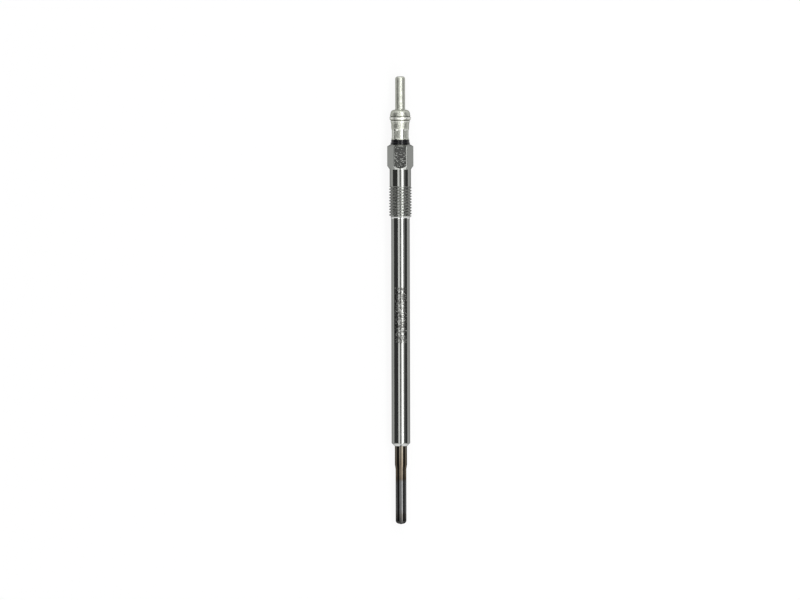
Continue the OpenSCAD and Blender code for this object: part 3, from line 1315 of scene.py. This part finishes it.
@dataclass
class Housing(Piece):
    """Turned steel housing with seat, shank, thread, neck and hexagon.

    A name that ends in r is a radius, one in z a station and one in round a rounding.

    Attributes:
        thread: The thread.
        core_sink: How far the plain core lies under the bottom of the groove.
        core_step: Length over which the shank's end drops to the core.
        neck_lap: How far the neck reaches down over the thread's end.
        hexagon: The hexagon's flats.
        chamfer: Slope of its lower chamfer from the axis.
        top_chamfer: Slope of its upper chamfer from the axis.
        low_fill: Length of the finely divided part at its lower end.
        top_fill: Where such a part starts and ends, down from its upper end.
        fill_gap: Distance between points there.
        mouth: Chamfer of the counterbore.
        overrun: How far the bores run past each end.
    """

    node: str = "housing"
    finish: Finish = BrightSteel((SHANK_STIPPLE, HEX_STIPPLE))
    thread: Thread = Thread()
    seat_z: float = 27.4
    land_r: float = 2.255
    land_round: float = 0.03
    shank_r: float = 3.25
    seat_round: float = 0.35
    lead_in_z: float = 106.244
    lead_in_round: float = 1.5
    core_sink: float = 0.06
    core_step: float = 0.12
    core_round: float = 0.03
    neck_lap: float = 0.05
    neck_round: float = 0.08
    hex_foot_round: float = 0.18
    hexagon: Flats = Flats(
        count=6, distance=4.0, first=30.0, low=124.144, high=HEX_TOP_Z, edge=0.05, corner=0.3
    )
    hex_corner_r: float = 4.61
    hex_land_r: float = 3.45
    chamfer: float = math.radians(35)
    chamfer_round: float = 0.06
    top_chamfer: float = math.radians(60)
    top_chamfer_round: float = 0.08
    hex_land_round: float = 0.05
    low_fill: float = 1.4
    top_fill: Point = (1.0, 0.01)
    fill_gap: float = 0.05
    tube_bore_r: float = 2.135
    tube_bore_z: float = 51.0
    bore_r: float = 2.25
    counterbore_r: float = 2.7
    counterbore_z: float = 127.844
    mouth: float = 0.15
    overrun: Point = (1.4, 1.156)

    def outline(self) -> list[Point]:
        """Draws the outside of the housing, with a plain core under the thread.

        Returns:
            The points of the outline.
        """
        low, top = self.hexagon.low, self.hexagon.high
        core_r = self.thread.root_r - self.core_sink
        neck_low = self.thread.high - self.neck_lap
        chamfer = (self.hex_corner_r - NECK_R) / math.tan(self.chamfer)
        top_chamfer = (self.hex_corner_r - self.hex_land_r) / math.tan(self.top_chamfer)
        corners = [
            Corner(0.0, self.seat_z),
            Corner(self.land_r, self.seat_z, self.land_round),
            Corner(self.shank_r, self.seat_z + self.shank_r - self.land_r, self.seat_round),
            Corner(self.shank_r, self.lead_in_z, self.lead_in_round),
            Corner(self.thread.root_r, self.thread.low, self.core_round),
            Corner(core_r, self.thread.low + self.core_step),
            Corner(core_r, neck_low - (NECK_R - core_r)),
            Corner(NECK_R, neck_low, self.neck_round),
            Corner(NECK_R, low, self.hex_foot_round),
            Corner(self.hex_corner_r, low + chamfer, self.chamfer_round),
            Corner(self.hex_corner_r, top - top_chamfer, self.top_chamfer_round),
            Corner(self.hex_land_r, top, self.hex_land_round),
            Corner(0.0, top),
        ]
        points = infill(soften(corners), low, low + self.low_fill, self.fill_gap)
        return infill(points, top - self.top_fill[0], top - self.top_fill[1], self.fill_gap)

    def bores(self) -> list[Point]:
        """Draws the bores, which run past both ends of the housing.

        Returns:
            The points of their outline.
        """
        low, high = self.seat_z - self.overrun[0], HEX_TOP_Z + self.overrun[1]
        mouth_r = self.counterbore_r + 2 * self.mouth
        return [
            (0.0, low),
            (self.tube_bore_r, low),
            (self.tube_bore_r, self.tube_bore_z),
            (self.bore_r, self.tube_bore_z + self.bore_r - self.tube_bore_r),
            (self.bore_r, self.counterbore_z),
            (self.counterbore_r, self.counterbore_z),
            (self.counterbore_r, HEX_TOP_Z - self.mouth),
            (mouth_r, HEX_TOP_Z + self.mouth),
            (mouth_r, high),
            (0.0, high),
        ]

    def shape(self) -> Solid:
        """Models the housing in millimetres about the Z axis.

        Returns:
            The housing.
        """
        piece = Lathe.turn("housing_body", self.outline())
        self.hexagon.press(piece)
        Lathe.combine(piece, self.thread.shape(), Cut.JOIN)
        Lathe.combine(piece, Lathe.turn("bore", self.bores(), Lathe.BORE_STEPS), Cut.REMOVE)
        return piece


@dataclass
class HeaterTube(Piece):
    """Swaged tube with a slim heating end, a taper and a welded tip.

    A name that ends in r is a radius, one in z a station and one in round a rounding.

    Attributes:
        wall: Thickness of the tube.
        tip_wall: Thickness of the welded tip.
        cone_len: Length of the tip's cone.
        round_steps: Straight pieces in each rounding.
    """

    node: str = "heater_tube"
    finish: Finish = TintedAlloy()
    slim_r: float = 1.875
    top_r: float = 2.125
    wall: float = 0.5
    tip_wall: float = 1.1
    cone_len: float = 0.42
    tip_round: float = 1.15
    taper_z: float = 19.3
    taper_round: float = 2.0
    top_z: float = 20.9
    end_z: float = TUBE_LEN
    end_round: float = 0.15
    round_steps: int = 8

    def shape(self) -> Solid:
        """Models the tube in millimetres about the Z axis.

        Returns:
            The tube.
        """
        slim_bore, top_bore = self.slim_r - self.wall, self.top_r - self.wall
        corners = [
            Corner(0.0, 0.0),
            Corner(self.slim_r, self.cone_len, self.tip_round),
            Corner(self.slim_r, self.taper_z, self.taper_round),
            Corner(self.top_r, self.top_z, self.taper_round),
            Corner(self.top_r, self.end_z, self.end_round),
            Corner(top_bore, self.end_z),
            Corner(top_bore, self.top_z),
            Corner(slim_bore, self.taper_z),
            Corner(slim_bore, self.tip_wall, self.end_round),
            Corner(0.0, self.tip_wall),
        ]
        points = soften(corners, self.round_steps)
        return Lathe.turn("heater_tube_body", points, Lathe.COARSE_STEPS)


@dataclass
class Insulator(Piece):
    """Black ring between the terminal and the housing.

    A name that ends in r is a radius, one in z a station and one in round a rounding.

    Attributes:
        rim_len: Length of the wider rim.
    """

    node: str = "insulator"
    finish: Finish = GlossMoulding()
    bore_r: float = ROD_HOLE_R
    spigot_r: float = 2.69
    spigot_z: float = 129.044
    seat_z: float = HEX_TOP_Z
    seat_round: float = 0.05
    rim_r: float = 3.425
    rim_len: float = 0.7
    step_round: float = 0.08
    ring_r: float = 3.225
    top_z: float = TERMINAL_Z
    edge_round: float = 0.12

    def shape(self) -> Solid:
        """Models the ring in millimetres about the Z axis.

        Returns:
            The ring.
        """
        rim_z = self.seat_z + self.rim_len
        corners = [
            Corner(self.bore_r, self.spigot_z),
            Corner(self.spigot_r, self.spigot_z, self.edge_round),
            Corner(self.spigot_r, self.seat_z),
            Corner(self.rim_r, self.seat_z, self.seat_round),
            Corner(self.rim_r, rim_z, self.edge_round),
            Corner(self.ring_r, rim_z, self.step_round),
            Corner(self.ring_r, self.top_z, self.edge_round),
            Corner(self.bore_r, self.top_z),
            Corner(self.bore_r, self.spigot_z),
        ]
        return Lathe.turn("insulator_ring", soften(corners), Lathe.COARSE_STEPS)


CRIMP = Flats(
    count=6, distance=2.83, first=67.0, low=134.894, high=138.1, edge=0.02, slope=0.3
)


@dataclass
class Terminal(Piece):
    """Nickel-plated terminal with a crimped skirt, a snap bead, a dome and a pin.

    A name that ends in r is a radius, one in z a station and one in round a rounding.

    Attributes:
        waist_step: Length of the step from the skirt to the waist.
        nick: Depth of the grooves on both sides of the bead.
        pin_foot: Rounding between the dome and the pin.
        round_steps: Straight pieces in each rounding.
        crimp: The crimped flats.
    """

    node: str = "terminal"
    finish: Finish = SatinNickel(CRIMP)
    bore_r: float = ROD_HOLE_R
    bore_top_z: float = 143.594
    foot_z: float = TERMINAL_Z
    foot_round: float = 0.12
    skirt_r: float = SKIRT_R
    waist_z: float = 138.394
    waist_r: float = 3.11
    waist_step: float = 0.15
    edge_round: float = 0.1
    cone_z: float = 139.994
    cone_round: float = 1.2
    cone_top_r: float = 3.4
    nick: float = 0.18
    nick_round: float = 0.05
    bead_z: float = 141.394
    bead_r: float = 3.77
    bead_peak_z: float = 142.394
    bead_round: float = 0.14
    dome_z: float = 142.604
    dome_foot_round: float = 0.04
    dome_r: float = 3.56
    dome_edge_round: float = 0.06
    dome_round_z: float = 143.504
    dome_round: float = 1.45
    pin_r: float = 1.71
    pin_foot: float = 0.25
    end_z: float = 156.604
    end_round: float = 0.9
    round_steps: int = 10
    crimp: Flats = CRIMP

    def outline(self) -> list[Point]:
        """Draws the terminal, from the blind bore to the end of the pin.

        Returns:
            The points of the outline.
        """
        dome_top = self.dome_round_z + self.dome_round
        dome_side = self.pin_r + self.pin_foot + self.dome_round
        bead_foot = (self.cone_top_r + self.bead_r) / 2
        corners = [
            Corner(0.0, self.bore_top_z),
            Corner(self.bore_r, self.bore_top_z),
            Corner(self.bore_r, self.foot_z),
            Corner(self.skirt_r, self.foot_z, self.foot_round),
            *(Corner(self.skirt_r, station) for station in self.crimp_rings()),
            Corner(self.skirt_r, self.waist_z, self.edge_round),
            Corner(self.waist_r, self.waist_z + self.waist_step, self.edge_round),
            Corner(self.waist_r, self.cone_z, self.cone_round),
            Corner(self.cone_top_r, self.bead_z - 2 * self.nick, self.edge_round),
            Corner(self.cone_top_r - self.nick, self.bead_z - self.nick / 2, self.nick_round),
            Corner(bead_foot, self.bead_z, self.edge_round),
            Corner(self.bead_r, self.bead_peak_z - self.nick / 2, self.bead_round),
            Corner(self.dome_r - self.nick, self.dome_z, self.dome_foot_round),
            Corner(self.dome_r, self.dome_z + self.nick, self.dome_edge_round),
            Corner(dome_side, self.dome_round_z),
            Corner(dome_side, dome_top, self.dome_round),
            Corner(self.pin_r, dome_top, self.pin_foot),
            Corner(self.pin_r, self.end_z, self.end_round),
            Corner(0.0, self.end_z),
        ]
        return soften(corners, self.round_steps)

    def crimp_rings(self) -> tuple[float, ...]:
        """Gives the stations where the skirt needs a ring of points for the crimp."""
        low, high, slope = self.crimp.low, self.crimp.high, self.crimp.slope
        return low, low + slope, high - slope, high

    def shape(self) -> Solid:
        """Models the terminal in millimetres about the Z axis.

        Returns:
            The terminal.
        """
        piece = Lathe.turn("terminal_body", self.outline())
        self.crimp.press(piece)
        return piece


COIL_WIRE = DrawnMetal(Slot.COIL_WIRE, (0.34, 0.31, 0.27, 1.0), (0.5, 0.47, 0.42, 1.0))
CONTROL_WIRE = DrawnMetal(Slot.CONTROL_WIRE, (0.45, 0.44, 0.4, 1.0), (0.62, 0.61, 0.57, 1.0))
ROD_STEEL = DrawnMetal(Slot.ROD_STEEL, grey(0.42), grey(0.56))
MAGNESIA = SoftFill(
    Slot.MAGNESIA, (0.84, 0.82, 0.76, 1.0), (0.93, 0.91, 0.87, 1.0), grains=3.0, roughness=0.82
)
SEAL_RUBBER = SoftFill(
    Slot.SEAL_RUBBER, (0.10, 0.04, 0.03, 1.0), (0.15, 0.065, 0.05, 1.0), grains=4.0, roughness=0.62
)
INSIDE: dict[str, Finish] = {
    "heating_coil": COIL_WIRE,
    "control_coil": CONTROL_WIRE,
    "centre_rod": ROD_STEEL,
    "magnesia_fill": MAGNESIA,
    "tube_seal": SEAL_RUBBER,
    "body_seal": SEAL_RUBBER,
}


def dress_inside(nodes: Mapping[str, Solid], axis: RestingAxis) -> None:
    """Gives the solids inside the plug their finish.

    Args:
        nodes: The solids of the frame.
        axis: Where the plug lies.
    """
    for name, finish in INSIDE.items():
        nodes[name].material_slots[0].material = finish.material(axis)
        LOG.info("%s: dressed", name)


@dataclass(frozen=True)
class Panel:
    """A softbox that hangs level over the floor, or stands at one end and faces the plug.

    Attributes:
        name: Name of the light.
        west: Its left edge, in metres.
        east: Its right edge, in metres.
        centre: Its middle along the plug and over the floor, in metres.
        radiance: How bright it looks.
        length: Its other side, in metres.
        stands: Whether it stands upright.
    """

    name: str
    west: float
    east: float
    centre: Point
    radiance: float
    length: float = 16.0
    stands: bool = False

    def hang(self) -> None:
        """Adds the light."""
        width = self.east - self.west
        along, height = self.centre
        turn = -math.copysign(math.pi / 2, along) if self.stands else 0.0
        Lathe.deselect()
        bpy.ops.object.light_add(
            type="AREA",
            location=((self.west + self.east) / 2, along, height),
            rotation=(turn, 0.0, 0.0),
        )
        lamp = bpy.context.object
        lamp.name = self.name
        lamp.data.shape = "RECTANGLE"
        lamp.data.size = width
        lamp.data.size_y = self.length
        lamp.data.energy = self.radiance * math.pi * width * self.length
        lamp.visible_camera = False


# Places of the softboxes along the plug and over the floor, and the height of a card
OVERHEAD = (0.0, 1.5)
UNDER_THE_KEY = (0.0, 1.48)
CEILING = (0.0, 2.0)
FOOT_END = (-1.3, 0.4)
HEAD_END = (1.3, 0.4)
CARD = 0.78


@dataclass(frozen=True)
class Studio:
    """Floor, softboxes, dim room and camera.

    Attributes:
        panels: The softboxes.
        room: Brightness of the dim room.
        floor_size: Side of the floor, in metres.
        floor_tone: Colour of the floor under the lights.
        floor_glow: Share of plain white in the floor as it is seen.
        camera_distance: Distance of the camera, in metres.
        clip_distance: How far the camera sees, in metres.
        lean: Lean of the camera towards the terminal.
        roll: Turn of the camera about its own axis.
        aim: Point on the plug that it looks at, in millimetres.
        pixels_per_mm: Scale of the picture.
        image_width: Width of the picture in pixels.
    """

    panels: tuple[Panel, ...] = (
        Panel("key_softbox", 0.19, 0.93, OVERHEAD, 2.5),
        Panel("key_core", 0.56, 0.9, UNDER_THE_KEY, 3.9),
        Panel("key_rim", 0.93, 2.1, OVERHEAD, 0.34),
        Panel("left_softbox", -0.86, -0.24, OVERHEAD, 1.8),
        Panel("top_softbox", -0.32, 0.32, CEILING, 0.13),
        Panel("foot_card_right", 0.2, 2.0, FOOT_END, 2.5, CARD, True),
        Panel("foot_card_left", -2.0, -0.2, FOOT_END, 2.1, CARD, True),
        Panel("head_card", -2.0, 2.0, HEAD_END, 0.9, CARD, True),
    )
    room: float = 0.09
    floor_size: float = 40.0
    floor_tone: Colour = grey(0.72)
    floor_glow: float = 0.9
    camera_distance: float = 6.0
    clip_distance: float = 100.0
    lean: float = math.radians(1.5)
    roll: float = math.radians(-0.125)
    aim: Point = (-0.21, 0.14)
    pixels_per_mm: float = 2.861
    image_width: int = 800

    def light(self) -> None:
        """Adds the softboxes and the dim room."""
        for panel in self.panels:
            panel.hang()
        world = bpy.data.worlds.new("room")
        world.use_nodes = True
        world.node_tree.nodes["Background"].inputs["Color"].default_value = grey(self.room)
        bpy.context.scene.world = world

    def lay_floor(self) -> None:
        """Adds a pale floor that keeps a soft shadow."""
        Lathe.deselect()
        bpy.ops.mesh.primitive_plane_add(size=self.floor_size)
        floor = bpy.context.object
        floor.name = "floor"
        graph = Graph("pale_floor")
        rays = graph.node("ShaderNodeLightPath")
        seen = sum(
            (Value(graph, rays.outputs[name]) for name in ("Is Glossy Ray", "Is Transmission Ray")),
            start=Value(graph, rays.outputs["Is Camera Ray"]),
        )
        matt = graph.node("ShaderNodeBsdfDiffuse", {}, {"Color": self.floor_tone})
        glow = graph.node("ShaderNodeEmission", {}, {"Color": grey(1.0), "Strength": 1.0})
        blend = graph.node(
            "ShaderNodeMixShader",
            {},
            {0: seen * self.floor_glow, 1: matt.outputs[0], 2: glow.outputs[0]},
        )
        graph.node("ShaderNodeOutputMaterial", {}, {"Surface": blend.outputs[0]})
        floor.data.materials.append(graph.material)

    def aim_camera(self, axis: RestingAxis) -> None:
        """Hangs the camera over the middle of the plug, a little towards the terminal.

        Args:
            axis: Where the plug lies.
        """
        Lathe.deselect()
        across, along = (side * MM for side in self.aim)
        middle = Vector((across, along, axis.height(along)))
        turn = Euler((-self.lean, 0.0, self.roll))
        away = turn.to_matrix() @ Vector((0.0, 0.0, self.camera_distance))
        bpy.ops.object.camera_add(location=middle + away, rotation=turn)
        camera = bpy.context.object
        width = self.image_width / self.pixels_per_mm * MM
        camera.data.lens = camera.data.sensor_width * self.camera_distance / width
        camera.data.clip_end = self.clip_distance
        bpy.context.scene.camera = camera

    def build(self, axis: RestingAxis) -> None:
        """Sets up the whole studio.

        Args:
            axis: Where the plug lies.
        """
        self.aim_camera(axis)
        self.lay_floor()
        self.light()
        bpy.context.scene.view_settings.view_transform = "Standard"


def main() -> None:
    """Builds the studio and the plug."""
    logging.basicConfig(level=logging.INFO, format="%(message)s")
    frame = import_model()
    axis = RestingAxis.from_record(frame["record"])
    Studio().build(axis)
    for piece in (Housing(), HeaterTube(), Insulator(), Terminal()):
        built = piece.build(axis)
        LOG.info("%s: %d faces", built.name, len(built.data.polygons))
    dress_inside(frame["nodes"], axis)


if __name__ == "__main__":
    main()
